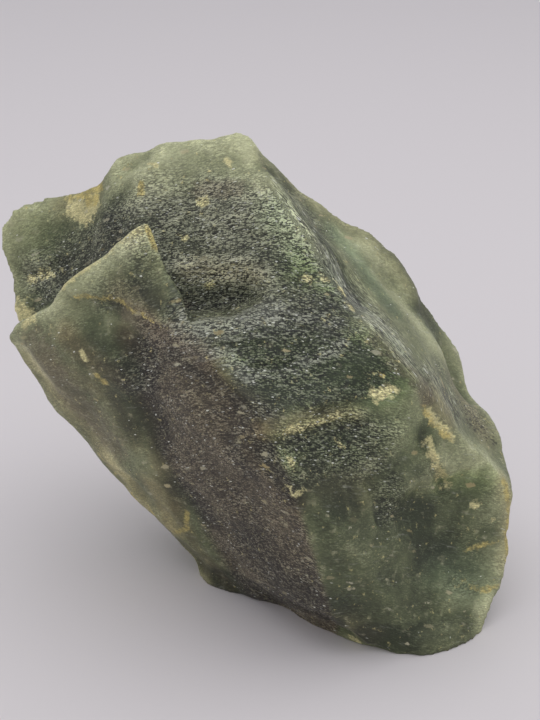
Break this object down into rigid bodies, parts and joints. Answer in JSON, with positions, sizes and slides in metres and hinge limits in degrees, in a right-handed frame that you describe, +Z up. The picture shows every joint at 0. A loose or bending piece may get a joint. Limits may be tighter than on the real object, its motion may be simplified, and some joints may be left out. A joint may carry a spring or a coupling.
{
  "type": "raw aventurine stone",
  "caption": "Rough unpolished lump of green mica quartzite with broken faces, a raised plate, ledges and a flat spot to rest on.",
  "frame": {"origin": "on the resting face, under the middle of the bounding box", "axes": "+X along the longest side towards the low blunt end, +Y towards the back, +Z up to the crown"},
  "size_m": [0.1054, 0.0726, 0.0927],
  "materials": {
    "stone": "raw broken quartzite, grainy, with mica glints"
  },
  "bodies": {
    "root": {"aventurine": "stone"}
  },
  "joints": []
}
